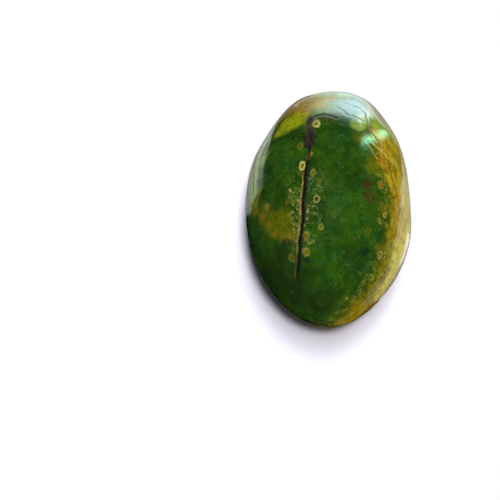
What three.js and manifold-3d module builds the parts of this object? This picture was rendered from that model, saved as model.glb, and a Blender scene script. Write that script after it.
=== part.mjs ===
// A june plum: one whole, unpeeled fruit, lying on its side.
//
// Millimetres, +Z up. The long axis lies along Y, the stem end towards +Y and the blossom
// end towards -Y. A healed crack in the skin runs along the upper side. The fruit rests on
// a small flat spot, and the origin is on the ground under the middle of its outline.
import * as THREE from 'three';
import { mergeVertices } from 'three/addons/utils/BufferGeometryUtils.js';
import Module from 'manifold-3d';

// The body
const LENGTH = 77; // stem end to blossom end
const WIDTH = 49.6; // mean thickness at the middle
const STEM_BLUNTNESS = 0.03; // how much fuller the stem half is than the blossom half
const BOW = 1.1; // both ends stand this far towards +X of the middle
const STEM_LEAN = 0.6; // the stem end leans this much more, the blossom end less

// Five faint ribs along the fruit, one over each part of the stone
const RIBS = 5;
const RIB_HEIGHT = 0.4;
const RIB_ANGLE = THREE.MathUtils.degToRad(40); // one crest's place, from +Z towards +X

// Low swells, and flatter places with heights below 0, that keep the fruit from being quite
// regular. Each has its middle at an angle from +Z towards +X and a place along Y.
const SWELLS = [
  { degrees: 94, y: -11, reach: 16, height: 0.75 }, // fullest part of the +X side
  { degrees: 95, y: -33, reach: 13, height: -0.95 }, // that side towards the blossom end
  { degrees: 50, y: 25, reach: 10, height: -0.75 }, // the two shoulders at the stem end
  { degrees: -66, y: 22, reach: 14, height: -0.75 },
  { degrees: 0, y: 33, reach: 12, height: -1 }, // above the stem end
];

// The stem end: a shallow hollow with the scar where the stalk came off
const HOLLOW_RADIUS = 6.5;
const HOLLOW_DEPTH = 1.3;
const SCAR_RADIUS = 1.9;
const SCAR_TOP_RADIUS = 1.1;
const SCAR_HEIGHT = 0.6;

// The blossom end: a low tip with a small pit
const TIP_RADIUS = 4.5;
const TIP_HEIGHT = 0.3;
const PIT_RADIUS = 1.2;
const PIT_DEPTH = 0.4;

// The crack: a shallow groove between two low corky lips, nearly straight seen from above
const CRACK_STEM_Y = 22;
const CRACK_BLOSSOM_Y = -32;
const CRACK_X = -7.3; // its distance from the long axis, at the middle
const CRACK_SKEW = 0.08; // how that changes for each millimetre along Y
const CRACK_WOBBLE = 0.25;
const WOBBLE_LENGTHS = [23, 9.5]; // millimetres from one bend to the next of its kind
const CRACK_HALF_WIDTH = 0.65;
const CRACK_DEPTH = 0.7;
const LIP_HEIGHT = 0.15;
const LIP_WIDTH = 1.1;
const CRACK_FADE = 4; // the groove runs out over this length at each end

// The flat spot that the fruit rests on
const FLAT_DEPTH = 0.4; // thickness taken off the underside

// Faces
const COLUMNS = 76;
const RINGS = 52;
const COLUMN_GATHER = 0.8; // 0 spaces the columns evenly, 1 draws them all to the crack
const RING_GATHER = 0.55; // the same for the rings, towards the two ends

const HALF_LENGTH = LENGTH / 2;
const HALF_WIDTH = WIDTH / 2;
const { clamp, smoothstep } = THREE.MathUtils;

// 1 at the centre of a round feature, falling smoothly to 0 at its edge.
function mound(distance, radius) {
  return 1 - smoothstep(distance, 0, radius);
}

// The body's radius at a place along the long axis, from -1 at the blossom end to 1.
function bodyRadius(along) {
  return HALF_WIDTH * Math.sqrt(1 - along * along) * (1 + STEM_BLUNTNESS * along);
}

// The outline from the blossom end to the stem end, as distances from the axis and along it.
function outline() {
  const points = [];
  for (let ring = 0; ring <= RINGS; ring++) {
    const share = ring / RINGS;
    const polar = Math.PI * share - (RING_GATHER / 2) * Math.sin(2 * Math.PI * share);
    const along = -Math.cos(polar);
    const radius = ring % RINGS ? bodyRadius(along) : 0;
    let y = HALF_LENGTH * along;
    if (along > 0) {
      y -= HOLLOW_DEPTH * mound(radius, HOLLOW_RADIUS);
      y += SCAR_HEIGHT * (1 - smoothstep(radius, SCAR_TOP_RADIUS, SCAR_RADIUS));
    } else {
      y -= TIP_HEIGHT * mound(radius, TIP_RADIUS) - PIT_DEPTH * mound(radius, PIT_RADIUS);
    }
    points.push(new THREE.Vector2(radius, y));
  }
  return points;
}

// The crack's angle about the long axis, from +Z towards +X.
function crackAngle(y) {
  const place = clamp(y, CRACK_BLOSSOM_Y, CRACK_STEM_Y);
  let x = CRACK_X + CRACK_SKEW * place;
  for (const length of WOBBLE_LENGTHS) {
    x += (CRACK_WOBBLE / WOBBLE_LENGTHS.length) * Math.sin((2 * Math.PI * place) / length);
  }
  return Math.asin(x / bodyRadius(place / HALF_LENGTH));
}

// How far the crack lowers the skin, or its lips raise it, at a distance from its middle.
function crackRelief(distance, y) {
  const open = smoothstep(y, CRACK_BLOSSOM_Y, CRACK_BLOSSOM_Y + CRACK_FADE)
    * (1 - smoothstep(y, CRACK_STEM_Y - CRACK_FADE, CRACK_STEM_Y));
  const groove = CRACK_DEPTH * Math.max(0, 1 - distance / CRACK_HALF_WIDTH);
  const lip = LIP_HEIGHT * mound(Math.abs(distance - CRACK_HALF_WIDTH), LIP_WIDTH);
  return open * (lip - groove);
}

// How far the swells raise the skin at a point of the round body.
function swellHeight(point) {
  const middle = new THREE.Vector3();
  let total = 0;
  for (const { degrees, y, reach, height } of SWELLS) {
    const angle = THREE.MathUtils.degToRad(degrees);
    middle.setFromCylindricalCoords(bodyRadius(y / HALF_LENGTH), angle, y);
    total += height * mound(point.distanceTo(middle), reach);
  }
  return total;
}

// Turns the round body into the fruit: columns drawn to the crack, ribs, swells, crack and bow.
function shapeSkin(geometry) {
  const position = geometry.attributes.position;
  const point = new THREE.Vector3();
  for (let i = 0; i < position.count; i++) {
    point.fromBufferAttribute(position, i);
    const round = Math.hypot(point.x, point.z);
    const along = clamp(point.y / HALF_LENGTH, -1, 1);
    const column = Math.atan2(point.x, point.z);
    const fromCrack = column - COLUMN_GATHER * Math.sin(column);
    const angle = crackAngle(point.y) + fromCrack;
    const rib = (RIB_HEIGHT / HALF_WIDTH) * Math.cos(RIBS * (angle - RIB_ANGLE));
    const relief = crackRelief(round * Math.abs(fromCrack), point.y);
    point.setFromCylindricalCoords(round, angle, point.y);
    const radius = round * (1 + rib * (1 - along * along)) + swellHeight(point) + relief;
    point.setFromCylindricalCoords(radius, angle, point.y);
    const bow = BOW * along ** 2 + STEM_LEAN * along ** 3;
    position.setXYZ(i, point.x + bow, point.y, point.z);
  }
}

// Keeps only positions, merges shared corners and drops the faces that close up to nothing.
function toSolid(geometry, wasm) {
  geometry.deleteAttribute('normal');
  geometry.deleteAttribute('uv');
  const merged = mergeVertices(geometry);
  const corners = merged.index.array;
  const triVerts = [];
  for (let i = 0; i < corners.length; i += 3) {
    const [a, b, c] = corners.slice(i, i + 3);
    if (a !== b && b !== c && c !== a) triVerts.push(a, b, c);
  }
  return new wasm.Manifold(new wasm.Mesh({
    numProp: 3,
    vertProperties: new Float32Array(merged.attributes.position.array),
    triVerts: new Uint32Array(triVerts),
  }));
}

// Takes a thin slice off the underside, and gives the fruit back as a three.js geometry.
function cutFlatSpot(geometry, wasm) {
  const { min } = geometry.boundingBox;
  const ground = new THREE.BoxGeometry(LENGTH, LENGTH, LENGTH);
  ground.translate(0, 0, min.z + FLAT_DEPTH - LENGTH / 2);
  const mesh = toSolid(geometry, wasm).subtract(toSolid(ground, wasm)).getMesh();
  const cut = new THREE.BufferGeometry();
  cut.setAttribute('position', new THREE.BufferAttribute(mesh.vertProperties, mesh.numProp));
  cut.setIndex(new THREE.BufferAttribute(mesh.triVerts, 1));
  return cut;
}

const wasm = await Module();
wasm.setup();

const body = new THREE.LatheGeometry(outline(), COLUMNS);
shapeSkin(body);
body.computeBoundingBox();
const fruit = cutFlatSpot(body, wasm);
fruit.computeBoundingBox();
const { min, max } = fruit.boundingBox;
fruit.translate(-(min.x + max.x) / 2, -(min.y + max.y) / 2, -min.z);
fruit.computeVertexNormals();

const skin = new THREE.MeshStandardMaterial({ color: 0x2b5a1a, roughness: 0.25, metalness: 0 });
const junePlum = new THREE.Mesh(fruit, skin);
junePlum.name = 'june_plum';

const model = new THREE.Group();
model.add(junePlum);

export default model;
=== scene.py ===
"""The finished looks of a whole June plum: its skin, the floor it lies on, light and camera."""

import math

import bpy
import numpy as np
from bpy.props import FloatProperty, FloatVectorProperty, IntProperty, PointerProperty
from mathutils import Matrix, Vector, noise


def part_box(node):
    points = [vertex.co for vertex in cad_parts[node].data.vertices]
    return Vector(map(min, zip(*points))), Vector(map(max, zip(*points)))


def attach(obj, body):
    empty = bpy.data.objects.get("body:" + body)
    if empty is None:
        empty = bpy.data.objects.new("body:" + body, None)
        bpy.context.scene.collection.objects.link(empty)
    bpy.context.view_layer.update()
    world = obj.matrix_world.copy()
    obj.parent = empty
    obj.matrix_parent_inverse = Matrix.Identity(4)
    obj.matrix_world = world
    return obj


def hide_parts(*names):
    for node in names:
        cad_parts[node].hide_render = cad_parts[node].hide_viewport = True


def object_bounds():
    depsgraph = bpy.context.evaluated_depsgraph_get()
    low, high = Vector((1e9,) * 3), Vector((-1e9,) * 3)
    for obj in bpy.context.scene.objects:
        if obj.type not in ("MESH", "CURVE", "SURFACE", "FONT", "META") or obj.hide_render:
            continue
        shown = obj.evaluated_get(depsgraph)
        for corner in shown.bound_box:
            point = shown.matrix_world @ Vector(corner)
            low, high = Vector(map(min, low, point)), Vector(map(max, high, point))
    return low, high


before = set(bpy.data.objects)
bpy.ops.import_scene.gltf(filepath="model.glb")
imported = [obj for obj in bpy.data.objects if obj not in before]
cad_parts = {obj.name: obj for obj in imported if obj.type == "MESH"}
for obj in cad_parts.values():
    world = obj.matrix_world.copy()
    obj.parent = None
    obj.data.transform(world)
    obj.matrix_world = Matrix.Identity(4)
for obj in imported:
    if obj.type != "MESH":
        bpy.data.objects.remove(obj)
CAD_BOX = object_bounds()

bl_info = {
    "name": "June Plum",
    "version": (1, 0, 0),
    "blender": (4, 5, 0),
    "location": "View3D > Sidebar > June Plum",
    "description": "Builds a whole June plum with its skin, and a pale studio to show it in",
    "category": "Add Mesh",
}

MM = 0.001
NODE = "june_plum"
PIECE = "june_plum_fruit"


def tone(red, green, blue):
    """A colour of screen values from 0 to 255, in the linear values that Blender works in."""
    return tuple(((c / 255 + 0.055) / 1.055) ** 2.4 if c > 10 else c / 255 / 12.92
                 for c in (red, green, blue))


def length_setting(label, text, value):
    """A size in millimetres that the user can change."""
    return FloatProperty(name=label, description=text + ", in millimetres", default=value)


def colour_setting(label, text, red, green, blue):
    """A colour that the user can change."""
    return FloatVectorProperty(name=label, description=text, subtype="COLOR", size=3,
                               min=0, max=1, default=tone(red, green, blue))


# ---------------------------------------------------------------------------
# Settings
# ---------------------------------------------------------------------------

class JunePlumForm(bpy.types.PropertyGroup):
    """Shape of the fruit."""

    length: length_setting("Length", "Stem end to blossom end", 77)
    width: length_setting("Width", "Mean thickness at the middle", 49.6)
    bow: length_setting("Bow", "How far both ends stand to the +X side of the middle", 1.1)
    stem_lean: length_setting("Stem lean", "How much more the stem end leans", 0.6)
    bluntness: FloatProperty(name="Bluntness", default=0.03,
                             description="How much fuller the stem half is")
    ribs: IntProperty(name="Ribs", default=5, description="Faint ribs round the fruit")
    rib_height: length_setting("Rib height", "Height of the faint ribs", 0.4)
    rib_angle: FloatProperty(name="Rib angle", default=math.radians(40), subtype="ANGLE",
                             description="Where one rib's crest lies, from the top towards +X")
    crack_depth: length_setting("Crack depth", "Depth of the healed crack", 0.7)
    crack_half_width: length_setting("Crack half width", "Middle of the crack to its rim", 0.65)
    undulation: length_setting("Undulation", "Height of the skin's slow swells", 0.16)
    columns: IntProperty(name="Columns", default=380, description="Faces round the fruit")
    rings: IntProperty(name="Rings", default=262, description="Faces from end to end")


class JunePlumSkin(bpy.types.PropertyGroup):
    """Colours of the skin."""

    green: colour_setting("Green", "Unripe skin", 40, 74, 10)
    deep_green: colour_setting("Deep green", "Darker mottling", 22, 48, 8)
    blue_green: colour_setting("Blue green", "Cool mottling", 14, 60, 26)
    moss: colour_setting("Moss", "Warm mottling", 52, 72, 8)
    light_green: colour_setting("Light green", "Fine pale net in the green", 62, 100, 34)
    # Painted shade: the deepest green darkens the lower left and the underside as if shadow fell
    # there, and also marks the blossom end.
    shade: colour_setting("Shade", "Deepest green, low on one side", 24, 40, 10)
    olive: colour_setting("Olive", "Where green begins to turn", 92, 94, 6)
    ochre: colour_setting("Ochre", "Warm patches in the olive", 128, 96, 12)
    lime: colour_setting("Lime", "Yellow-green patch near the stem end", 146, 154, 12)
    gold: colour_setting("Gold", "Ripe skin", 174, 144, 8)
    amber: colour_setting("Amber", "Streaks in the ripe skin", 156, 98, 4)
    straw: colour_setting("Straw", "Pale streaks in the ripe skin", 184, 174, 66)
    russet: colour_setting("Russet", "Corky russet near the stem end", 156, 124, 44)
    lip: colour_setting("Lip", "Corky lips of the crack", 160, 130, 70)
    crack: colour_setting("Crack", "Floor of the crack", 28, 20, 12)
    scar: colour_setting("Scar", "Broad scar at the crack's upper end", 62, 42, 28)
    pale_scar: colour_setting("Pale scar", "Pinkish cork in the scar", 132, 98, 66)
    bruise: colour_setting("Bruise", "Bruised spots and cuts", 60, 40, 16)
    # Ink also lays the painted shadow beside the crack.
    ink: colour_setting("Ink", "Blue-black blotches", 12, 32, 26)
    mint: colour_setting("Mint", "Pale green along the left flank", 134, 162, 54)
    # Partly the ripest skin and partly painted light: the right flank is painted paler where its
    # rim would catch light bounced from the bright surroundings.
    pale_gold_and_painted_light: colour_setting("Pale gold", "Ripest skin, low on the right flank", 208, 197, 60)
    ring: colour_setting("Ring", "Pale rings of the lenticels", 174, 172, 90)


class JunePlumStudio(bpy.types.PropertyGroup):
    """The camera, and how bright and what colour the studio is."""

    lens: FloatProperty(name="Lens", description="Focal length in millimetres", default=100)
    distance: FloatProperty(name="Distance", default=0.418, unit="LENGTH",
                            description="Camera to fruit, along the view")
    elevation: FloatProperty(name="Elevation", default=math.radians(61.9), subtype="ANGLE",
                             description="How steeply the camera looks down")
    turn: FloatProperty(name="Turn", default=math.radians(1.6), subtype="ANGLE",
                        description="How far the camera is turned to the left")
    right: FloatProperty(name="Right", default=0.02355, unit="LENGTH",
                         description="How far right of the picture's middle the fruit is")
    up: FloatProperty(name="Up", default=0.01277, unit="LENGTH",
                      description="How far above the picture's middle the fruit is")
    key_strength: FloatProperty(name="Key", default=2.4, description="Light from the front")
    fill_strength: FloatProperty(name="Fill", default=1.05, description="Each light overhead")
    window_strength: FloatProperty(name="Window", default=9.8,
                                   description="Brightness of the window behind, as reflected")
    strip_strength: FloatProperty(name="Strip", default=20,
                                  description="Brightness of the narrow light, as reflected")
    light: FloatVectorProperty(name="Light colour", description="Faint lavender of the lights",
                               subtype="COLOR", size=3, min=0, max=1, default=(0.95, 0.93, 1))
    floor: colour_setting("Floor", "The pale floor", 226, 226, 230)
    floor_cloud: colour_setting("Floor cloud", "Faint clouds in the floor", 216, 216, 222)
    window: colour_setting("Window colour", "Cool daylight", 214, 248, 255)
    hedge: colour_setting("Hedge colour", "Greener daylight on the window's left",
                          214, 240, 204)
    strip: colour_setting("Strip colour", "Mint daylight", 160, 255, 205)


# ---------------------------------------------------------------------------
# The fruit's form. Angles run about the long axis, from +Z towards +X, and lengths are in
# millimetres from the middle of the fruit, so the form is the same as the solid's.
# ---------------------------------------------------------------------------

HOLLOW_RADIUS, HOLLOW_DEPTH = 6.5, 1.3
SCAR_RADIUS, SCAR_TOP_RADIUS, SCAR_HEIGHT = 1.9, 1.1, 0.6
TIP_RADIUS, TIP_HEIGHT = 4.5, 0.3
PIT_RADIUS, PIT_DEPTH = 1.2, 0.4
CRACK_STEM_Y, CRACK_BLOSSOM_Y, CRACK_FADE = 22, -32, 4
CRACK_X, CRACK_SKEW, CRACK_WOBBLE = -7.3, 0.08, 0.25
WOBBLE_LENGTHS = (23, 9.5)
LIP_HEIGHT, LIP_WIDTH = 0.15, 1.1
COLUMN_GATHER = 0.5  # 0 spaces the columns evenly, 1 draws them all to the crack
SWELLS = [  # middle's angle in degrees, its place along Y, reach and height
    (94, -11, 16, 0.75), (95, -33, 13, -0.95), (50, 25, 10, -0.75), (-66, 22, 14, -0.75),
    (0, 33, 12, -1),
]

# The scar's crust over the crack's upper end: the stretches along Y where it sets in, swings
# to the left of the crack and runs out.
CRUST_START, CRUST_SWING, CRUST_END = (2, 7), (9, 14), (16, 20)
CRUST_ASIDE, CRUST_HALF_WIDTH, CRUST_HEIGHT = 0.8, 2.6, 0.05

# Low relief. Reaches are in millimetres, or in shares of its own size for a lenticel or fleck.
CREASE_DEPTH, CREASE_REACH = 0.08, 0.6
PALE_CREASE_HEIGHT, PALE_CREASE_REACH = 0.03, 0.8
RIM_HEIGHT, RIM_PLACE, RIM_REACH = 0.07, 0.7, 0.45
PORE_DEPTH, PORE_REACH = 0.06, 0.5
FLECK_HEIGHT, FLECK_REACH = 0.05, 1.4
PUCKERS, PUCKER_HEIGHT, PUCKER_PLACE, PUCKER_REACH = 13, 0.14, 4, 3.4
STEM_GRAIN = 0.12
STYLES, STYLE_HEIGHT, STYLE_RADIUS = 5, 0.1, 0.55
STYLE_ALONG = -0.9992  # on a ring of about 1 mm radius at the blossom end
BUMP_DEPTH = 0.06

# The lenticels that show best: angle in degrees, place along Y, half width, how dark and warm
# the middle is, and how much the pale ring shows, each from 0 to 1. They are longer than wide.
LENTICEL_STRETCH = 1.35
LENTICELS = [
    (-12, 14.5, 1.3, 0.1, 1), (-20, -0.5, 1.2, 0.2, 1), (-13, -3, 1.0, 0.2, 0.3),
    (-9, -6, 0.9, 0.4, 0.1), (-11, -11, 1.0, 0.97, 0.5), (1, -15.5, 1.1, 0, 0.08),
    (-21, -21, 1.2, 0.35, 0.3), (-9, -19, 0.95, 0, 0.35), (-23, -25, 1.3, 0.35, 0.35),
    (-38, -25.5, 1.3, 0.1, 0.2), (-51, -9.5, 1.1, 0.7, 0.25), (-56, -11.5, 0.9, 0.7, 0.1),
    (-32, -10.5, 1.0, 0.4, 0.1), (-22, 6.5, 1.2, 0.1, 0.2), (34, -4.5, 1.2, 0.8, 0.3),
    (40, -13, 0.8, 0.3, 0.55), (36, -15, 0.8, 0.5, 0.25), (45, -23.5, 1.2, 0.25, 0.45),
    (58, -21.5, 0.8, 0, 0.5), (28, -19, 1.3, 0, 0.1), (70, 4, 0.9, 0.5, 0.4),
    (-70, 8, 0.9, 0.4, 0.3), (120, -8, 1, 0.4, 0.5), (150, 16, 1.1, 0.6, 0.4),
    (-110, 12, 1, 0.3, 0.4), (-140, -6, 1.2, 0.5, 0.5), (175, -20, 0.9, 0.4, 0.4),
]

# Small flecks of cork beside the crack: angle, place, radius, how warm they are and how much
# they show.
FLECKS = [
    (-29, -7.5, 0.55, 0.05, 0.9), (-30, -9.5, 0.4, 0.1, 0.4), (-28, -12, 0.45, 0.4, 0.7),
    (-29, -14, 0.5, 0.5, 0.7), (-25, -13.5, 0.45, 0.2, 0.6), (-18, -14.5, 0.55, 0.3, 0.6),
    (-19, -16.5, 0.5, 0, 0.7), (-21, -18, 0.5, 0.1, 0.8), (-24, -11, 0.5, 0.1, 0.6),
    (-26, -15.5, 0.4, 0.2, 0.5), (-30, -18.5, 0.4, 0.4, 0.6), (-14, -13, 0.5, 0.2, 0.5),
    (-13, -15, 0.4, 0, 0.4), (-33, -27, 0.5, 0.5, 0.5), (-15, 3.5, 0.8, 1, 0.6),
    (-16, 2, 0.8, 1, 0.4),
]

# Fine creases over the right shoulder: how deep, and stops as angle and place along Y. Dark
# ones are cut in, and pale ones lie beside them.
DARK_CREASES = [
    (1, [(8, 25), (22, 23), (27, 21), (27, 17), (28, 14)]),
    (0.8, [(3, 22), (8, 20.5), (11, 18.5)]),
    (0.8, [(15, 18.5), (24, 17)]),
    (1, [(28, 14), (32, 11.5), (36, 8.5)]),
    (0.5, [(34, 7), (42, 4)]),
    (0.5, [(26, 6.5), (36, 0.5)]),
    (0.7, [(42, 2), (44, -1), (49, -3.5), (55, -9.5), (54, -11)]),
    (0.5, [(55, -11.5), (56, -15.5), (54, -20)]),
    (0.9, [(-80, 20), (-73, 13), (-70, 8), (-68, 3), (-69, -2)]),
]
PALE_CREASES = [
    (0.5, [(26, 17.5), (27, 15), (29, 13)]),
    (1, [(28, 9), (38, 6.5), (51, 4)]),
    (0.6, [(39, 7), (44, 6.5), (53, 4.5)]),
    (0.6, [(25, 8), (35, 1.5), (44, -4.5)]),
    (1, [(45, 1), (53, -5), (57, -10.5)]),
    (0.4, [(-20, -23), (-15, -22.5)]),
]

# A branch of the crack, from its scar to the right, with a brown blush a little way below it.
BRANCH = [(-18, 15), (-16, 17), (-12, 18), (-7, 18.5), (3, 17)]
BLUSH_BELOW = 1.2

# The ripe side, from its edge at one angle to another. Each step adds degrees to the edge: none
# above a stretch along Y, and all of them below it.
RIPE_FROM, RIPE_TO, RIPE_STEM_Y = 27, 205, 27.5
RIPE_STEPS = [(16, -9, 8), (5, -27, -16), (-14, -37, -31)]

# Coloured bands: half width, and stops as angle and place along Y.
BANDS = {
    "lime": [(7.5, (-38, 16.5), (-33, 17), (-27, 18.5))],
    "russet": [(8.5, (-45, 25), (-34, 28), (-24, 24), (-10, 28))],
    # pale: ripe skin low on the right flank, painted paler as painted light on its rim.
    "pale": [(13, (68, 20), (70, 4), (74, -9)), (9.5, (74, -9), (75, -21)),
             (6.5, (75, -21), (82, -29))],
    "mint": [(12.5, (-72, 25), (-69, 16), (-68, 8)), (10, (-68, 8), (-71, 0)),
             (7, (-8, 31), (12, 32), (28, 32)), (4.5, (20, 15), (24, 18)),
             (6, (33, 18.5), (48, 16))],
}

# Round coloured patches: angle, place along Y and radius.
PATCHES = {
    "olive": [(-56, -11, 7), (-48, -15, 7.5), (-40, -16, 7.5), (-35, -19.5, 5.5), (-66, -6, 6),
              (29, 1, 5.5), (-20, 19, 5), (36, 17, 8), (-44, 20, 6), (-34, 22, 7), (-24, 21, 6),
              (-10, 22, 6), (-61, -3, 5)],
    "ochre": [(-58, -11, 3.4), (-53, -14.5, 3.2), (-48, -18, 3.2), (-42, -20, 3.2),
              (-36, -21, 3.2), (-66, -7, 4), (20, 9.5, 4), (38, -11, 3.6)],
    # Painted shade: patches darkened as if in shadow, low on the left and underneath.
    "shade": [(-70, -27, 15), (-54, -31, 14), (-48, -24, 7), (-20, -36, 8), (-120, 0, 20)],
    "bruise": [(26, -9, 4), (25, -5.4, 3.6), (150, 10, 4), (-140, -14, 4)],
    "ink": [(-40, -21.5, 2.8), (-36, -21.8, 2.4), (-20, 9.4, 2.2), (-14, 7.8, 2.4),
            (-13, 9.4, 1.8), (-25, -27, 2.3), (29, -24, 3), (-28, 10, 1.6)],
}


def smooth(value, low, high):
    """0 below low and 1 above high, with a smooth rise between them."""
    share = np.clip((value - low) / (high - low), 0, 1)
    return share * share * (3 - 2 * share)


def mound(distance, radius):
    """1 at the middle of a round feature, falling smoothly to 0 at its edge."""
    return 1 - smooth(distance, 0, radius)


def body_radius(form, along):
    """The fruit's radius at a place along it, from -1 at the blossom end to 1."""
    return form.width / 2 * np.sqrt(np.clip(1 - along**2, 0, 1)) * (1 + form.bluntness * along)


def crack_angle(form, y):
    """The crack's angle about the long axis."""
    place = np.clip(y, CRACK_BLOSSOM_Y, CRACK_STEM_Y)
    x = CRACK_X + CRACK_SKEW * place
    for wobble in WOBBLE_LENGTHS:
        x = x + CRACK_WOBBLE / len(WOBBLE_LENGTHS) * np.sin(2 * math.pi * place / wobble)
    return np.arcsin(x / body_radius(form, place / (form.length / 2)))


def crack_openness(y):
    """1 where the crack is open, falling to 0 where it runs out at each end."""
    return (smooth(y, CRACK_BLOSSOM_Y, CRACK_BLOSSOM_Y + CRACK_FADE)
            * (1 - smooth(y, CRACK_STEM_Y - CRACK_FADE, CRACK_STEM_Y)))


def around(angle, y, radius):
    """Points at an angle about the long axis, as an array ending in x, y, z."""
    return np.stack([radius * np.sin(angle), y + 0 * radius, radius * np.cos(angle)], axis=-1)


def swell_height(form, points):
    """How far the swells raise the skin at points of the round body."""
    total = 0
    for degrees, y, reach, height in SWELLS:
        middle = around(math.radians(degrees), y, body_radius(form, y / (form.length / 2)))
        total = total + height * mound(np.linalg.norm(points - middle, axis=-1), reach)
    return total


def skin_points(form, angle, along):
    """Points of the smooth fruit, without crack or blemish, as an array ending in x, y, z."""
    radius = body_radius(form, along)
    stem = (SCAR_HEIGHT * (1 - smooth(radius, SCAR_TOP_RADIUS, SCAR_RADIUS))
            - HOLLOW_DEPTH * mound(radius, HOLLOW_RADIUS))
    tip = PIT_DEPTH * mound(radius, PIT_RADIUS) - TIP_HEIGHT * mound(radius, TIP_RADIUS)
    y = form.length / 2 * along + np.where(along > 0, stem, tip)
    rib = form.rib_height / (form.width / 2) * np.cos(form.ribs * (angle - form.rib_angle))
    swell = swell_height(form, around(angle, y, radius))
    points = around(angle, y, radius * (1 + rib * (1 - along**2)) + swell)
    points[..., 0] += form.bow * along**2 + form.stem_lean * along**3
    return points


class Grid:
    """The skin as rings of points from the blossom end to the stem end, drawn to the crack."""

    def __init__(self, form):
        self.form = form
        polar = np.linspace(0, math.pi, form.rings + 1)[1:-1, None]
        column = np.linspace(-math.pi, math.pi, form.columns + 1)[None, :-1]
        self.along = np.broadcast_to(-np.cos(polar), (form.rings - 1, form.columns))
        self.y = form.length / 2 * self.along
        self.gap = column - COLUMN_GATHER * np.sin(column) + 0 * self.along
        self.angle = crack_angle(form, self.y) + self.gap
        self.points = skin_points(form, self.angle, self.along)
        self.across = body_radius(form, self.along) * self.gap
        self.normals = self.find_normals()

    def find_normals(self):
        """Unit normals of the smooth fruit, pointing out."""
        sideways = np.roll(self.points, -1, axis=1) - np.roll(self.points, 1, axis=1)
        lengthways = np.gradient(self.points, axis=0)
        normal = np.cross(sideways, lengthways)
        return normal / np.linalg.norm(normal, axis=-1, keepdims=True)

    def point_at(self, degrees, y):
        """The point of the smooth fruit at an angle and a place along it."""
        along = np.array(y / (self.form.length / 2))
        return skin_points(self.form, np.array(math.radians(degrees)), along)

    def distance_to(self, point, stretch=1.0):
        """Each point's distance from one point, measured short along Y by a stretch."""
        return np.linalg.norm((self.points - point) / (1, stretch, 1), axis=-1)

    def distance_to_line(self, stops, steps=26):
        """Each point's distance from a line drawn over the skin through (angle, place) stops."""
        stops = np.array(stops, float)
        marks = np.linspace(0, len(stops) - 1, steps * (len(stops) - 1) + 1)
        angles = np.interp(marks, range(len(stops)), stops[:, 0])
        places = np.interp(marks, range(len(stops)), stops[:, 1])
        best = np.full(self.along.shape, np.inf)
        for angle, place in zip(angles, places):
            best = np.minimum(best, self.distance_to(self.point_at(angle, place)))
        return best

    def swell(self, size, seed):
        """Smooth noise over the skin, about -1 to 1, with lumps of a size in millimetres. Each
        seed takes it from another place."""
        shift = Vector((seed * 7.1, seed * 3.7, seed * 5.3))
        flat = self.points.reshape(-1, 3) / size
        values = [noise.noise(Vector(point) + shift) for point in flat]
        return np.array(values).reshape(self.along.shape)


def nearest(distances, *measures):
    """The least of several distances at each point, and its own share of each measure."""
    distances = np.stack(distances)
    first = distances.argmin(axis=0)
    return distances.min(axis=0), *(np.array(measure, float)[first] for measure in measures)


def add_spots(fields, name, measures, grid, spots, stretch=1.0):
    """Stores how far the nearest of many spots is, in shares of its own radius, and that
    spot's two measures."""
    shares = [grid.distance_to(grid.point_at(degrees, y), stretch) / radius
              for degrees, y, radius, *_ in spots]
    fields[name], *own = nearest(shares, *zip(*(spot[3:] for spot in spots)))
    fields.update(zip(measures, own))


def find_ripe(grid):
    """How far inside the ripe side each point is, in millimetres."""
    degrees = np.degrees(grid.angle) % 360
    degrees = np.where(degrees > 270, degrees - 360, degrees)
    edge = sum((step * (1 - smooth(grid.y, low, high)) for step, low, high in RIPE_STEPS),
               RIPE_FROM)
    degree_length = np.radians(1) * body_radius(grid.form, grid.along)
    ripe = np.minimum((degrees - edge) * degree_length, (RIPE_TO - degrees) * degree_length)
    return np.maximum(ripe, grid.y - RIPE_STEM_Y)


def find_fields(grid):
    """Smooth measures over the skin that the relief and the colours are worked out from."""
    fields = {"crack_across": grid.across, "crack_open": crack_openness(grid.y), "along": grid.y}
    add_spots(fields, "spot", ("spot_warmth", "spot_ring"), grid, LENTICELS, LENTICEL_STRETCH)
    add_spots(fields, "fleck", ("fleck_warmth", "fleck_show"), grid, FLECKS)
    for name, lines in (("crease", DARK_CREASES), ("streak", PALE_CREASES)):
        distances = [grid.distance_to_line(stops) for _, stops in lines]
        fields[name], fields[name + "_show"] = nearest(distances, [show for show, _ in lines])

    fields["branch"] = grid.distance_to_line(BRANCH)
    fields["below_branch"] = grid.distance_to_line([(degrees, y - BLUSH_BELOW)
                                                    for degrees, y in BRANCH])
    fields["stem"] = grid.distance_to(grid.point_at(0, grid.form.length / 2))
    fields["blossom"] = grid.distance_to(grid.point_at(0, -grid.form.length / 2))
    fields["ripe"] = find_ripe(grid)
    for name, bands in BANDS.items():
        fields[name] = np.maximum.reduce([mound(grid.distance_to_line(stops), half_width)
                                          for half_width, *stops in bands])
    for name, patches in PATCHES.items():
        fields[name] = np.maximum.reduce([
            mound(grid.distance_to(grid.point_at(degrees, y)), radius)
            for degrees, y, radius in patches])
    return fields


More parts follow.
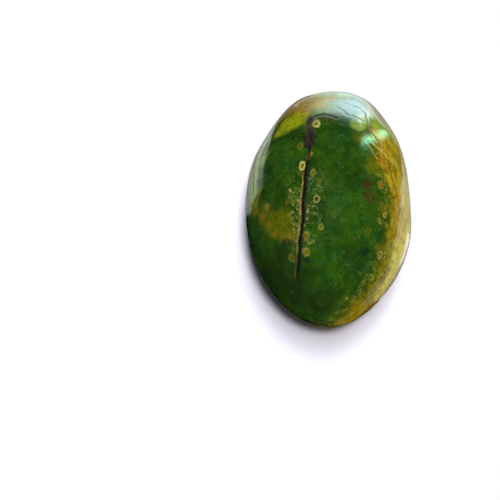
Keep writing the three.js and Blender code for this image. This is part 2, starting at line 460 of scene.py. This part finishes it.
def find_relief(grid, fields):
    """How far each point stands proud of the smooth fruit, in millimetres."""
    form = grid.form

    # Slow dents and swells: the skin dips where the noise is high.
    relief = -form.undulation * (grid.swell(15, 1) + 0.3 * grid.swell(5.5, 2))
    rough = grid.swell(1.3, 3)
    lumpy = grid.swell(3.2, 4)

    # The crack and its uneven lips, which end in two steps under the crust.
    across = np.abs(grid.across)
    openness = fields["crack_open"] * (
        1 - 0.75 * smooth(grid.y, 1, 6) - 0.25 * smooth(grid.y, *CRUST_SWING))
    width = form.crack_half_width * (1 + 0.3 * lumpy)
    groove = form.crack_depth * np.maximum(0, 1 - across / width)
    lip = LIP_HEIGHT * (1 + 0.7 * rough + 0.4 * lumpy) * mound(np.abs(across - width), LIP_WIDTH)
    relief += openness * (lip - groove)

    # The broad scar at the crack's upper end: a low corky crust with pits.
    aside = np.abs(grid.across + CRUST_ASIDE * smooth(grid.y, *CRUST_SWING))
    crust = (smooth(grid.y, *CRUST_START) * (1 - smooth(grid.y, *CRUST_END))
             * mound(aside, CRUST_HALF_WIDTH))
    relief += crust * (CRUST_HEIGHT + 0.1 * rough + 0.06 * lumpy)

    relief -= CREASE_DEPTH * fields["crease_show"] * mound(fields["crease"], CREASE_REACH)
    relief += (PALE_CREASE_HEIGHT * fields["streak_show"]
               * mound(fields["streak"], PALE_CREASE_REACH))

    spot = fields["spot"]
    rim = RIM_HEIGHT * mound(np.abs(spot - RIM_PLACE), RIM_REACH)
    relief += (0.4 + 0.6 * fields["spot_ring"]) * (rim - PORE_DEPTH * mound(spot, PORE_REACH))
    relief += FLECK_HEIGHT * fields["fleck_show"] * mound(fields["fleck"], FLECK_REACH)

    # Puckers round the stem scar, its rough top, and the style marks at the blossom end.
    puckered = mound(np.abs(fields["stem"] - PUCKER_PLACE), PUCKER_REACH)
    wave = np.cos(PUCKERS * grid.angle + 1.5 * grid.swell(6, 5))
    relief += PUCKER_HEIGHT * puckered * wave
    relief += STEM_GRAIN * mound(fields["stem"], SCAR_RADIUS) * rough
    style_y = STYLE_ALONG * form.length / 2
    styles = np.stack([grid.distance_to(grid.point_at(360 / STYLES * i, style_y))
                       for i in range(STYLES)]).min(axis=0)
    relief += STYLE_HEIGHT * mound(styles, STYLE_RADIUS)
    return relief


def build_mesh(form):
    """The fruit's mesh, fitted to the solid's box, with its fields stored on its points."""
    grid = Grid(form)
    fields = find_fields(grid)
    points = grid.points + find_relief(grid, fields)[..., None] * grid.normals
    rings, columns = grid.along.shape

    # The form is moved into the solid's box, and its underside is pressed flat on the ground.
    low, high = (np.array(corner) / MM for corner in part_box(NODE))
    form_low, form_high = grid.points.min(axis=(0, 1)), grid.points.max(axis=(0, 1))
    shift = (low + high) / 2 - (form_low + form_high) / 2
    shift[2] = high[2] - form_high[2]

    ends = skin_points(form, np.zeros(2), np.array([-1.0, 1.0]))
    everything = np.concatenate([points.reshape(-1, 3), ends]) + shift
    everything[:, 2] = np.maximum(everything[:, 2], low[2])
    blossom, stem = rings * columns, rings * columns + 1

    faces = []
    for ring in range(rings - 1):
        for column in range(columns):
            beside = (column + 1) % columns
            a, b = ring * columns + column, ring * columns + beside
            faces.append((a, b, b + columns, a + columns))
    last = (rings - 1) * columns
    for column in range(columns):
        beside = (column + 1) % columns
        faces.append((beside, column, blossom))
        faces.append((last + column, last + beside, stem))
    mesh = bpy.data.meshes.new(PIECE)
    mesh.from_pydata((everything * MM).tolist(), [], [face[::-1] for face in faces])
    mesh.shade_smooth()
    for name, values in fields.items():
        stored = mesh.attributes.new(name, "FLOAT", "POINT")
        tips = [values[0].mean(), values[-1].mean()]
        stored.data.foreach_set("value", np.append(values.ravel(), tips).astype(np.float32))
    mesh.validate()
    return mesh


# ---------------------------------------------------------------------------
# Materials. Each is painted in layers, by mixing one colour over another. A fade's numbers are
# the values it goes between, then how strong it is at each. Noise sizes are in millimetres.
# ---------------------------------------------------------------------------

MIX_FIRST, MIX_SECOND, MIX_RESULT = 6, 7, 2  # the colour sockets of a Mix node


class Painter:
    """Adds nodes to a material and joins them up as it goes."""

    def __init__(self, name):
        self.material = bpy.data.materials.new(name)
        self.material.use_nodes = True
        self.tree = self.material.node_tree
        self.tree.nodes.clear()
        self.shader = self.tree.nodes.new("ShaderNodeBsdfPrincipled")
        output = self.tree.nodes.new("ShaderNodeOutputMaterial")
        self.tree.links.new(self.shader.outputs["BSDF"], output.inputs["Surface"])
        self.place = self.tree.nodes.new("ShaderNodeTexCoord").outputs["Object"]
        self.colour = None  # what is painted so far

    def feed(self, socket, value):
        """Joins a socket to another, or sets its value."""
        if isinstance(value, bpy.types.NodeSocket):
            self.tree.links.new(value, socket)
        elif socket.type == "RGBA":
            socket.default_value = (*value, 1)
        else:
            socket.default_value = value

    def give(self, name, value):
        """Gives one of the shader's own sockets a value, or joins it to another socket."""
        self.feed(self.shader.inputs[name], value)

    def field(self, name):
        """A measure stored on the mesh."""
        node = self.tree.nodes.new("ShaderNodeAttribute")
        node.attribute_name = name
        return node.outputs["Fac"]

    def arithmetic(self, operation, first, *others):
        """One operation on two or more values, from left to right, or on one value."""
        for other in others or (0.0,):
            node = self.tree.nodes.new("ShaderNodeMath")
            node.operation = operation
            self.feed(node.inputs[0], first)
            self.feed(node.inputs[1], other)
            first = node.outputs[0]
        return first

    def plus(self, first, second):
        return self.arithmetic("ADD", first, second)

    def minus(self, first, second):
        return self.arithmetic("SUBTRACT", first, second)

    def times(self, *values):
        return self.arithmetic("MULTIPLY", *values)

    def greatest(self, *values):
        return self.arithmetic("MAXIMUM", *values)

    def absolute(self, value):
        return self.arithmetic("ABSOLUTE", value)

    def fade(self, value, low, high, start=0.0, end=1.0):
        """Goes smoothly from start to end as a value goes from low to high."""
        node = self.tree.nodes.new("ShaderNodeMapRange")
        node.interpolation_type = "SMOOTHSTEP"
        for name, setting in (("Value", value), ("From Min", low), ("From Max", high),
                              ("To Min", start), ("To Max", end)):
            self.feed(node.inputs[name], setting)
        return node.outputs["Result"]

    def band(self, value, middle, width):
        """1 where a value is at the middle, falling to 0 this far to each side."""
        away = self.absolute(self.minus(value, middle))
        return self.fade(away, 0.0, width, 1.0, 0.0)

    def mix(self, share, first, second):
        """A mix of two colours."""
        node = self.tree.nodes.new("ShaderNodeMix")
        node.data_type = "RGBA"
        self.feed(node.inputs["Factor"], share)
        self.feed(node.inputs[MIX_FIRST], first)
        self.feed(node.inputs[MIX_SECOND], second)
        return node.outputs[MIX_RESULT]

    def lay(self, share, colour):
        """Lays a share of a colour over what is painted so far."""
        self.colour = self.mix(share, self.colour, colour)

    def along_axis(self, axis):
        """The place on the object along its X, Y or Z axis, in millimetres."""
        split = self.tree.nodes.new("ShaderNodeSeparateXYZ")
        self.feed(split.inputs["Vector"], self.place)
        return self.arithmetic("DIVIDE", split.outputs[axis], MM)

    def stretched(self, across, lengthways, height):
        """The place on the object, scaled along each axis."""
        node = self.tree.nodes.new("ShaderNodeMapping")
        self.feed(node.inputs["Vector"], self.place)
        node.inputs["Scale"].default_value = (across, lengthways, height)
        return node.outputs["Vector"]

    def noise(self, size, detail=2.0, distortion=0.0, place=None):
        """Cloudy noise from 0 to 1, with lumps of a size in millimetres."""
        node = self.tree.nodes.new("ShaderNodeTexNoise")
        self.feed(node.inputs["Vector"], place or self.place)
        node.inputs["Scale"].default_value = 1 / (size * MM)
        node.inputs["Detail"].default_value = detail
        node.inputs["Distortion"].default_value = distortion
        return node.outputs["Fac"]

    def cells(self, size):
        """Distance to the middle of cells of a size in millimetres, and two numbers that
        differ from cell to cell."""
        node = self.tree.nodes.new("ShaderNodeTexVoronoi")
        self.feed(node.inputs["Vector"], self.place)
        node.inputs["Scale"].default_value = 1 / (size * MM)
        split = self.tree.nodes.new("ShaderNodeSeparateColor")
        self.feed(split.inputs["Color"], node.outputs["Color"])
        away = self.times(node.outputs["Distance"], size)
        return away, split.outputs[0], split.outputs[1]

    def wander(self, amount, noise_value):
        """Noise as an offset, from minus to plus an amount."""
        return self.times(self.minus(noise_value, 0.5), 2 * amount)

    def patch(self, name, amount, size, low, high, strength):
        """A stored patch, its edge made ragged by an amount of noise of a size, as a share that
        goes from 0 at the low value to a strength at the high one."""
        ragged = self.plus(self.field(name), self.wander(amount, self.noise(size, 4)))
        inside = self.fade(self.field(name), 0, 0.15)
        return self.times(self.fade(ragged, low, high, 0, strength), inside)


def paint_green(p, skin):
    """Lays green skin with cool and dark mottling, that turns olive and ochre in patches."""
    p.colour = skin.deep_green
    p.lay(p.fade(p.noise(7, 3), 0.36, 0.62, 0.2, 1), skin.green)
    p.lay(p.fade(p.noise(5, 3), 0.5, 0.66, 0, 0.5), skin.blue_green)
    p.lay(p.fade(p.noise(3.2, 3), 0.56, 0.7, 0, 0.4), skin.moss)
    p.lay(p.patch("olive", 0.55, 2.6, 0.15, 0.85, 0.75), skin.olive)
    p.lay(p.patch("ochre", 0.7, 1.7, 0.25, 1.0, 0.42), skin.ochre)


def paint_ripe(p, skin):
    """The colour of ripe skin: gold with amber and straw streaks along the fruit, greener
    towards the blossom end."""
    streak = p.noise(1.1, 3, place=p.stretched(1, 0.13, 1))
    broad_streak = p.noise(2.6, 2, place=p.stretched(1, 0.16, 1))
    gold = p.mix(p.fade(streak, 0.34, 0.5), skin.amber, skin.gold)
    gold = p.mix(p.fade(broad_streak, 0.54, 0.68, 0, 0.6), gold, skin.straw)
    gold = p.mix(p.fade(p.noise(4.4, 3), 0.46, 0.66, 0, 0.7), gold, skin.olive)
    greener = p.times(p.fade(p.field("along"), -2, -24, 0, 0.75),
                      p.fade(p.field("ripe"), 2, 8, 1, 0.2))
    return p.mix(greener, gold, skin.olive)


def paint_net(p, skin):
    """Lays a fine net over the skin: short pale worms, broken faint rings and dark pores."""
    worms = p.band(p.noise(1.5, 1.5, 1.4), 0.5, 0.07)
    along = p.field("along")
    by_crack = p.times(p.fade(p.absolute(p.field("crack_across")), 2, 7, 1, 0),
                       p.fade(along, 2, -6), p.fade(along, -20, -26, 1, 0))
    patchy = p.plus(p.noise(2.8, 2), p.times(by_crack, 0.04))
    worms = p.times(worms, p.fade(patchy, 0.44, 0.6))
    away, size, luck = p.cells(3.1)
    rings = p.times(p.band(away, p.fade(size, 0, 1, 0.45, 0.95), 0.3), p.fade(luck, 0.45, 0.6),
                    p.fade(p.noise(1.9, 1), 0.42, 0.58))
    # The net is fainter where the painted shade lies.
    net = p.times(p.greatest(worms, rings), 0.55, p.fade(p.field("shade"), 0, 0.6, 1, 0.4))
    net_colour = p.mix(p.times(by_crack, 0.5), skin.light_green, skin.ring)
    net_colour = p.mix(p.fade(p.field("ripe"), -5, 2), net_colour, skin.straw)
    p.lay(net, net_colour)
    p.lay(p.fade(p.noise(1.2, 2), 0.52, 0.68, 0, 0.4), skin.deep_green)
    p.lay(p.fade(p.noise(0.6, 1), 0.56, 0.7, 0, 0.25), skin.deep_green)


def paint_spots(p, skin):
    """Lays lenticels and flecks of cork over the skin."""
    ragged = p.noise(0.9, 3)
    spot = p.plus(p.field("spot"), p.wander(0.5, ragged))
    show = p.field("spot_ring")
    warmth = p.field("spot_warmth")
    middle = p.mix(warmth, skin.olive, skin.amber)
    middle = p.mix(p.fade(warmth, 0.92, 0.98), middle, skin.crack)
    rim = p.times(p.fade(spot, 1.0, 1.5, 0.6, 0), show)
    p.lay(rim, skin.deep_green)
    filled = p.times(p.fade(spot, 0.35, 0.9, 0.85, 0), p.fade(show, 0, 0.6, 0.3, 1))
    p.lay(filled, middle)
    ring = p.times(p.band(spot, RIM_PLACE, 0.36), show,
                   p.fade(p.plus(p.noise(1.6, 2), show), 0.65, 1.0, 0.5, 1))
    p.lay(ring, skin.ring)

    fleck = p.plus(p.field("fleck"), p.wander(1.2, ragged))
    show = p.field("fleck_show")
    cork = p.mix(p.field("fleck_warmth"), skin.ring, skin.lip)
    rim = p.times(p.fade(fleck, 1.2, 1.9, 0.6, 0), show)
    p.lay(rim, skin.deep_green)
    p.lay(p.times(p.fade(fleck, 0.3, 1.3, 0.85, 0), show), cork)


def paint_crack(p, skin):
    """Lays the crack over the skin, with its pale lip and a painted shadow beside it, the scar at
    its upper end and the branch. Gives back how corky the skin is there."""
    grain = p.noise(1.4, 3)
    along = p.field("along")
    side = p.plus(p.field("crack_across"), p.wander(0.35, grain))
    lower = p.times(p.field("crack_open"), p.fade(along, 0, 4, 1, 0))
    upper = p.times(p.fade(along, 0, 4), p.fade(along, 17, 20.5, 1, 0))

    # Painted shadow on the crack's right side, in ink.
    shadow = p.times(p.band(side, 0.9, 0.8), lower)
    p.lay(p.times(shadow, 0.6), skin.ink)
    lips = p.times(p.band(side, -0.6, p.fade(along, -3, -20, 0.35, 0.6)), lower,
                   p.fade(along, -1, -7), p.fade(p.noise(1.7, 3), 0.4, 0.6, 0.15, 0.9),
                   p.fade(along, -22, -27, 1, 0.3))
    lip_colour = p.mix(p.fade(along, -4, -12, 0.5, 1), skin.gold, skin.lip)
    lip_colour = p.mix(p.fade(along, -21, -25), lip_colour, skin.pale_scar)
    p.lay(lips, lip_colour)

    # The scar is blotchy and nearly black where it starts, then broad and solid brown.
    width = p.minus(p.fade(along, 4, 7, 0.4, 1.4), p.fade(along, 11, 14, 0, 0.5))
    width = p.plus(width, p.wander(1.1, p.noise(2.2, 3)))
    aside = p.plus(side, p.fade(along, *CRUST_SWING, 0, CRUST_ASIDE))
    in_scar = p.times(p.fade(p.minus(p.absolute(aside), width), -0.4, 0.3, 1, 0), upper)
    solid = p.fade(along, 10, 14, -0.12, 0.18)
    scar = p.mix(p.fade(p.plus(grain, solid), 0.38, 0.6), skin.crack, skin.scar)
    scar = p.mix(p.fade(p.noise(1.7, 3), 0.62, 0.74, 0, 0.3), scar, skin.pale_scar)
    p.lay(p.times(in_scar, 0.94), scar)
    floor = p.fade(p.absolute(p.minus(side, 0.1)), 0.3, 0.65, 1, 0)
    floor = p.times(floor, p.greatest(lower, p.times(upper, 0.4)))
    p.lay(floor, skin.crack)

    blush = p.plus(p.field("below_branch"), p.wander(1.0, p.noise(1.8, 2)))
    p.lay(p.fade(blush, 0.2, 1.7, 0.45, 0), skin.bruise)
    branch = p.plus(p.field("branch"), p.wander(0.4, grain))
    branch = p.fade(branch, 0.15, 0.8, 0.9, 0)
    p.lay(branch, skin.crack)
    return p.greatest(in_scar, floor, p.times(lips, 0.7), branch)


def paint_skin(skin):
    """The waxy skin: green turning gold, with net, streaks, russet, crack and lenticels."""
    p = Painter("waxy_skin")
    paint_green(p, skin)
    ripe = p.plus(p.field("ripe"), p.wander(4.5, p.noise(4, 4)))
    p.lay(p.fade(ripe, -2.6, 1.2, 0, 0.7), skin.olive)
    p.lay(p.fade(ripe, 0, 3), paint_ripe(p, skin))

    # Lime and russet near the stem end, painted shade low on the left and underneath, bruises and
    # blue-black blotches.
    p.lay(p.patch("lime", 0.7, 2.4, 0.2, 0.85, 0.9), skin.lime)
    p.lay(p.patch("russet", 0.6, 3, 0.2, 0.85, 0.9), skin.russet)
    streak = p.noise(1.6, 3, place=p.stretched(1, 0.2, 1))
    mint = p.mix(p.fade(streak, 0.52, 0.68, 0, 0.6), skin.mint, skin.olive)
    p.lay(p.patch("mint", 0.7, 3.2, 0.1, 0.9, 0.92), mint)
    # Pale gold on the right flank: ripe skin, partly painted light that brightens the rim.
    pale_gold_and_painted_light = p.mix(p.fade(streak, 0.48, 0.64, 0, 0.65), skin.pale_gold_and_painted_light, skin.gold)
    p.lay(p.patch("pale", 0.6, 4, 0.15, 1.05, 1.0), pale_gold_and_painted_light)
    p.lay(p.fade(p.field("shade"), 0.1, 0.9, 0, 0.75), skin.shade)
    p.lay(p.patch("bruise", 0.6, 1.3, 0.2, 0.95, 0.8), skin.bruise)
    paint_net(p, skin)
    p.lay(p.patch("ink", 0.7, 1.1, 0.2, 0.9, 0.75), skin.ink)
    paint_spots(p, skin)

    # Creases over the right shoulder: dark cuts, and pale lines beside them.
    sway = p.wander(0.4, p.noise(1.2, 2))
    pale = p.fade(p.plus(p.field("streak"), sway), 0.05, 0.5, 0.6, 0)
    p.lay(p.times(pale, p.field("streak_show")), skin.straw)
    cut = p.fade(p.plus(p.field("crease"), sway), 0.1, 0.6, 0.8, 0)
    cut = p.times(cut, p.field("crease_show"))
    p.lay(cut, skin.bruise)

    corky = paint_crack(p, skin)

    # The two ends.
    stem = p.plus(p.field("stem"), p.wander(0.5, p.noise(1.4, 3)))
    p.lay(p.fade(stem, 1.7, 4.5, 0.7, 0), skin.russet)
    stalk_scar = p.mix(p.fade(p.noise(0.9, 3), 0.4, 0.6), skin.crack, skin.scar)
    p.lay(p.fade(stem, 1.4, 2.1, 1, 0), stalk_scar)
    blossom = p.plus(p.field("blossom"), p.wander(0.5, p.noise(1.4, 3)))
    p.lay(p.fade(blossom, 0.5, 1.6, 0.7, 0), skin.shade)
    p.give("Base Color", p.colour)

    # Gloss: waxy and sharp on the skin, dull on cork and in the cuts.
    corky = p.greatest(corky, p.fade(stem, 1.6, 3.2, 1, 0))
    dull = p.greatest(corky, p.times(cut, 0.5))
    rough = p.fade(p.noise(3.5, 3), 0.3, 0.75, 0.1, 0.17)
    p.give("Roughness", p.plus(rough, p.times(dull, 0.7)))
    p.give("IOR", 1.45)

    # Bumps too fine for the mesh, in shares of their depth: slow waves, pores and cork grain.
    skin_height = p.plus(p.times(p.noise(2.4, 2), 0.6), p.times(p.noise(0.45, 2), 0.35))
    cork_height = p.times(p.noise(0.7, 2), corky, 1.2)
    bump = p.tree.nodes.new("ShaderNodeBump")
    bump.inputs["Distance"].default_value = BUMP_DEPTH * MM
    p.feed(bump.inputs["Height"], p.plus(skin_height, cork_height))
    p.give("Normal", bump.outputs["Normal"])
    return p.material


def paint_floor(studio):
    """A matt, pale floor with the faintest cloudiness."""
    p = Painter("pale_floor")
    shade = p.fade(p.noise(60, 2), 0.3, 0.7, 0.97, 1)
    p.give("Base Color", p.mix(shade, studio.floor_cloud, studio.floor))
    p.give("Roughness", 0.9)
    p.give("Specular IOR Level", 0.1)
    return p.material


def paint_flag():
    """Black cloth, which gives the skin something dark to reflect."""
    p = Painter("black_flag")
    p.give("Base Color", (0.002, 0.002, 0.002))
    p.give("Roughness", 1)
    p.give("Specular IOR Level", 0)
    return p.material


def paint_glow(name):
    """Starts the material of a card that glows: its painter, with the card itself black."""
    p = Painter(name)
    p.give("Base Color", (0, 0, 0))
    return p


def paint_dim_floor(studio, share):
    """Floor as the gloss shows it, with a share of its brightness."""
    p = paint_glow("dim_floor")
    p.give("Emission Color", studio.floor)
    p.give("Emission Strength", share)
    return p.material


def paint_sill(studio):
    """The light that the window throws on the floor, stronger towards it."""
    p = paint_glow("sill_glow")
    p.give("Emission Color", studio.window)
    p.give("Emission Strength", p.fade(p.along_axis("Y"), 66, 92, 0.8, 2.0))
    return p.material


def paint_strip(studio):
    """The narrow light, weaker low down."""
    p = paint_glow("strip_glow")
    z = p.along_axis("Z")
    p.give("Emission Color", studio.strip)
    p.give("Emission Strength", p.times(p.fade(z, 5, 50, 0.3, 0.55), p.fade(z, 60, 90, 1, 2),
                                        studio.strip_strength))
    return p.material


def paint_window(studio):
    """The window: brightest at its upper right, with soft edges, and greener on the left."""
    p = paint_glow("window_glow")
    x, z = p.along_axis("X"), p.along_axis("Z")
    slope = p.plus(z, p.times(x, 0.35))
    p.give("Emission Color", p.mix(p.fade(x, -16, 22), studio.hedge, studio.window))
    p.give("Emission Strength", p.times(
        p.fade(slope, 12, 60, 0.2, 1), p.fade(z, 66, 84, 1, 0), p.fade(x, -44, 22),
        p.fade(x, 42, 54, 1, 0), studio.window_strength))
    return p.material


# ---------------------------------------------------------------------------
# The studio. Cards that only the gloss shows stand or lie round the fruit: black flags end the
# pale floor's reflection, shades dim it, and a window and a narrow strip of light stand at the
# back. Outlines and heights are in millimetres, and an outline runs over the floor in x and y.
# ---------------------------------------------------------------------------

FLOOR_HALF = 3000  # half a side of the square floor
FLAGS = {  # upright: height, and stops along the floor
    "far_flag": (400, [(0, 125), (-125, 110), (-125, -90), (125, -90), (125, 110), (0, 125)]),
    "near_flag": (50, [
        (-34, 94), (-28, 55), (-47, 65), (-67, 74), (-88, 74), (-100, 57), (-97, 39), (-56, 20),
        (-43, 7), (-38, 0), (-35, -9), (-31, -18), (-27, -27), (-20, -36), (-11, -43), (0, -46),
        (11, -43), (21, -40), (34, -48), (58, -50), (80, -36), (92, -18), (96, -4), (99, 12),
        (102, 26), (90, 44)]),
    "right_flag": (30, [(90, 44), (59, 37), (47, 40), (41, 43)]),
    "slat": (5, [(-37, 59), (-51, 49), (-65, 40), (-78, 30)]),
}
FRONT_FLAG = [(-46, 12), (-40, -4), (-33, -20), (-22, -38), (0, -47), (22, -50), (34, -48),
              (32, -40), (26, -34), (22, -22), (8, -18), (-14, -12), (-24, 8)]
# Shades are painted shadow on the floor, which only the gloss shows.
SHADES = {  # flat: how bright the floor looks there, and an outline
    "back_shade": (0.6, [(-8, 56), (-29, 56), (-32, 50), (-42, 41), (-24, 22), (-14, 34),
                         (-4, 42)]),
    "stem_shade": (0.25, [(-6, 84), (-33, 84), (-29, 56), (-8, 56)]),
    "left_shade": (0.55, [(-42, 41), (-48, 36), (-56, 20), (-46, 12), (-24, 8), (-24, 22)]),
    "side_shade": (0.55, [(48, 34), (64, 20), (67, 5), (66, -6), (54, -20), (46, -28), (38, -34),
                          (33, -22), (26, -6), (27, 12), (30, 24)]),
    "low_shade": (0.55, [(66, -6), (92, 0), (92, -18), (80, -36), (58, -50), (34, -48),
                         (32, -40), (38, -34), (46, -28), (54, -20)]),
    "front_shade": (0.35, [(32, -40), (38, -34), (33, -22), (26, -6), (22, -22), (26, -34)]),
    "right_shade": (0.3, [(6, 70), (34, 71), (50, 68), (41, 43), (48, 34), (36, 26), (20, 30),
                          (8, 44)]),
    # Painted shadow on the floor behind the fruit, as only the gloss shows it.
    "far_shade": (0.25, [(41, 43), (50, 68), (58, 92), (80, 120), (120, 110), (70, 60)]),
}
GLINT, GLINT_SHARE = [(36, -12), (44, -10), (49, -4), (47, 4), (41, 6), (36, 0)], 2.4
SHADE_LAYER, FLAG_LAYER, SILL_LAYER = 0.15, 0.2, 0.3  # how far over the floor cards start
WINDOW, WINDOW_HEIGHT = [(-30, 92), (54, 92)], 86
SILL = [(6, 71), (34, 72), (47, 78), (56, 92), (6, 92)]
STRIP_Y = 100
STRIP = [  # upright, in x and z
    (80, 0), (92, 0), (96, 38), (94, 56), (90, 86), (83, 104), (76, 118), (66, 114), (70, 104),
    (76, 91), (80, 86), (82, 56), (84, 22)]
HORIZON, OVERHEAD = (0.16, 0.16, 0.19), (0.05, 0.05, 0.06)  # the dim room's two colours
SENSOR_WIDTH = 36
NEAREST = 10  # what the camera sees starts this far from it


def add_object(name, data):
    """A new object in the scene."""
    made = bpy.data.objects.new(name, data)
    bpy.context.scene.collection.objects.link(made)
    return made


def direction(turn, elevation):
    """A unit vector from a turn, in degrees from +Y towards +X, and a height in degrees."""
    turn, elevation = math.radians(turn), math.radians(elevation)
    return Vector((math.sin(turn) * math.cos(elevation), math.cos(turn) * math.cos(elevation),
                   math.sin(elevation)))


def add_soft_light(name, turn, elevation, spread, strength, colour):
    """A broad, far light that lights the fruit and the floor without showing in the gloss. Its
    turn, elevation and spread are in degrees."""
    lamp = bpy.data.lights.new(name, "SUN")
    lamp.energy = strength
    lamp.angle = math.radians(spread)
    lamp.color = colour
    made = add_object(name, lamp)
    made.rotation_mode = "QUATERNION"
    made.rotation_quaternion = direction(turn, elevation).to_track_quat("Z", "Y")
    made.visible_glossy = False


def add_card(name, corners, faces, material):
    """A card of faces between corners in millimetres, which shows only in the gloss."""
    mesh = bpy.data.meshes.new(name)
    mesh.from_pydata([(x * MM, y * MM, z * MM) for x, y, z in corners], [], faces)
    mesh.materials.append(material)
    card = add_object(name, mesh)
    card.visible_camera = card.visible_diffuse = card.visible_shadow = False
    card.visible_transmission = False


def add_curtain(name, stops, height, material):
    """An upright card along (x, y) stops, from just over the floor to a height."""
    count = len(stops)
    corners = [(x, y, z) for z in (FLAG_LAYER, height) for x, y in stops]
    faces = [(i, i + 1, count + i + 1, count + i) for i in range(count - 1)]
    add_card(name, corners, faces, material)


def add_flat_card(name, outline, height, material):
    """A card that lies level at a height."""
    add_card(name, [(x, y, height) for x, y in outline], [range(len(outline))], material)


def light_world():
    """A dim room, a little paler towards the horizon."""
    world = bpy.data.worlds.new("studio")
    world.use_nodes = True
    bpy.context.scene.world = world
    tree = world.node_tree
    place = tree.nodes.new("ShaderNodeTexCoord")
    split = tree.nodes.new("ShaderNodeSeparateXYZ")
    ramp = tree.nodes.new("ShaderNodeValToRGB")
    tree.links.new(place.outputs["Generated"], split.inputs[0])
    tree.links.new(split.outputs["Z"], ramp.inputs["Fac"])
    tree.links.new(ramp.outputs["Color"], tree.nodes["Background"].inputs["Color"])
    first, last = ramp.color_ramp.elements
    first.position, first.color = 0.1, (*HORIZON, 1)
    last.position, last.color = 0.5, (*OVERHEAD, 1)


def lay_floor(studio):
    """The floor under the fruit."""
    corners = [(x * MM, y * MM, 0) for x, y in (
        (-FLOOR_HALF, -FLOOR_HALF), (FLOOR_HALF, -FLOOR_HALF), (FLOOR_HALF, FLOOR_HALF),
        (-FLOOR_HALF, FLOOR_HALF))]
    mesh = bpy.data.meshes.new("floor")
    mesh.from_pydata(corners, [], [range(4)])
    floor = add_object("floor", mesh)
    floor.location.z = CAD_BOX[0].z
    mesh.materials.append(paint_floor(studio))


def set_lights(studio):
    """One light from the front, and two from nearly overhead."""
    for name, turn, elevation, spread, strength in (
            ("key", 171, 70, 8, studio.key_strength), ("fill", 162, 80, 13, studio.fill_strength),
            ("back_fill", 60, 87, 13, studio.fill_strength)):
        add_soft_light(name, turn, elevation, spread, strength, studio.light)


def set_cards(studio):
    """The cards that the gloss shows."""
    black = paint_flag()
    for name, (height, stops) in FLAGS.items():
        add_curtain(name, stops, height, black)
    add_flat_card("front_flag", FRONT_FLAG, FLAG_LAYER, black)
    for name, (share, outline) in SHADES.items():
        add_flat_card(name, outline, SHADE_LAYER, paint_dim_floor(studio, share))
    add_flat_card("glint", GLINT, FLAG_LAYER, paint_dim_floor(studio, GLINT_SHARE))
    add_curtain("window", WINDOW, WINDOW_HEIGHT, paint_window(studio))
    add_flat_card("sill", SILL, SILL_LAYER, paint_sill(studio))
    add_card("strip", [(x, STRIP_Y, z) for x, z in STRIP], [range(len(STRIP))],
             paint_strip(studio))


def set_camera(studio):
    """The camera in front of the fruit, looking down on it."""
    low, high = CAD_BOX
    camera = add_object("camera", bpy.data.cameras.new("camera"))
    camera.data.lens = studio.lens
    camera.data.sensor_width = SENSOR_WIDTH
    camera.data.clip_start = NEAREST * MM
    forward = -direction(180 - math.degrees(studio.turn), math.degrees(studio.elevation))
    right = forward.cross(Vector((0, 0, 1))).normalized()
    upward = right.cross(forward)
    camera.location = (low + high) / 2 - (right * studio.right + upward * studio.up
                                          + forward * studio.distance)
    camera.rotation_euler = Matrix((right, upward, -forward)).transposed().to_euler()
    bpy.context.scene.camera = camera


# ---------------------------------------------------------------------------
# Operators and panel
# ---------------------------------------------------------------------------

class JUNEPLUM_OT_fruit(bpy.types.Operator):
    """Build the fruit with its crack, lenticels, creases and waxy skin"""

    bl_idname = "june_plum.fruit"
    bl_label = "Build Fruit"

    def execute(self, context):
        fruit = add_object(PIECE, build_mesh(context.scene.june_plum_form))
        fruit.data.materials.append(paint_skin(context.scene.june_plum_skin))
        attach(fruit, "root")
        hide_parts(NODE)
        return {"FINISHED"}


class JUNEPLUM_OT_stage(bpy.types.Operator):
    """Lay the pale floor, and set the lights, the surroundings and the camera"""

    bl_idname = "june_plum.stage"
    bl_label = "Set Stage"

    def execute(self, context):
        studio = context.scene.june_plum_studio
        lay_floor(studio)
        light_world()
        set_lights(studio)
        set_cards(studio)
        set_camera(studio)
        context.scene.view_settings.view_transform = "Standard"
        return {"FINISHED"}


class JUNEPLUM_PT_panel(bpy.types.Panel):
    """Lists the fruit's and the stage's operators with their settings."""

    bl_label = "June Plum"
    bl_space_type = "VIEW_3D"
    bl_region_type = "UI"
    bl_category = "June Plum"

    def draw(self, context):
        for name, group in SETTINGS.items():
            box = self.layout.box()
            for prop in group.__annotations__:
                box.prop(getattr(context.scene, name), prop)
        self.layout.operator(JUNEPLUM_OT_fruit.bl_idname)
        self.layout.operator(JUNEPLUM_OT_stage.bl_idname)


SETTINGS = {
    "june_plum_form": JunePlumForm,
    "june_plum_skin": JunePlumSkin,
    "june_plum_studio": JunePlumStudio,
}
CLASSES = (*SETTINGS.values(), JUNEPLUM_OT_fruit, JUNEPLUM_OT_stage, JUNEPLUM_PT_panel)


def register():
    for each in CLASSES:
        bpy.utils.register_class(each)
    for name, group in SETTINGS.items():
        setattr(bpy.types.Scene, name, PointerProperty(type=group))


def unregister():
    for name in SETTINGS:
        delattr(bpy.types.Scene, name)
    for each in reversed(CLASSES):
        bpy.utils.unregister_class(each)


def main():
    register()
    bpy.ops.june_plum.fruit()
    bpy.ops.june_plum.stage()


if __name__ == "__main__":
    main()
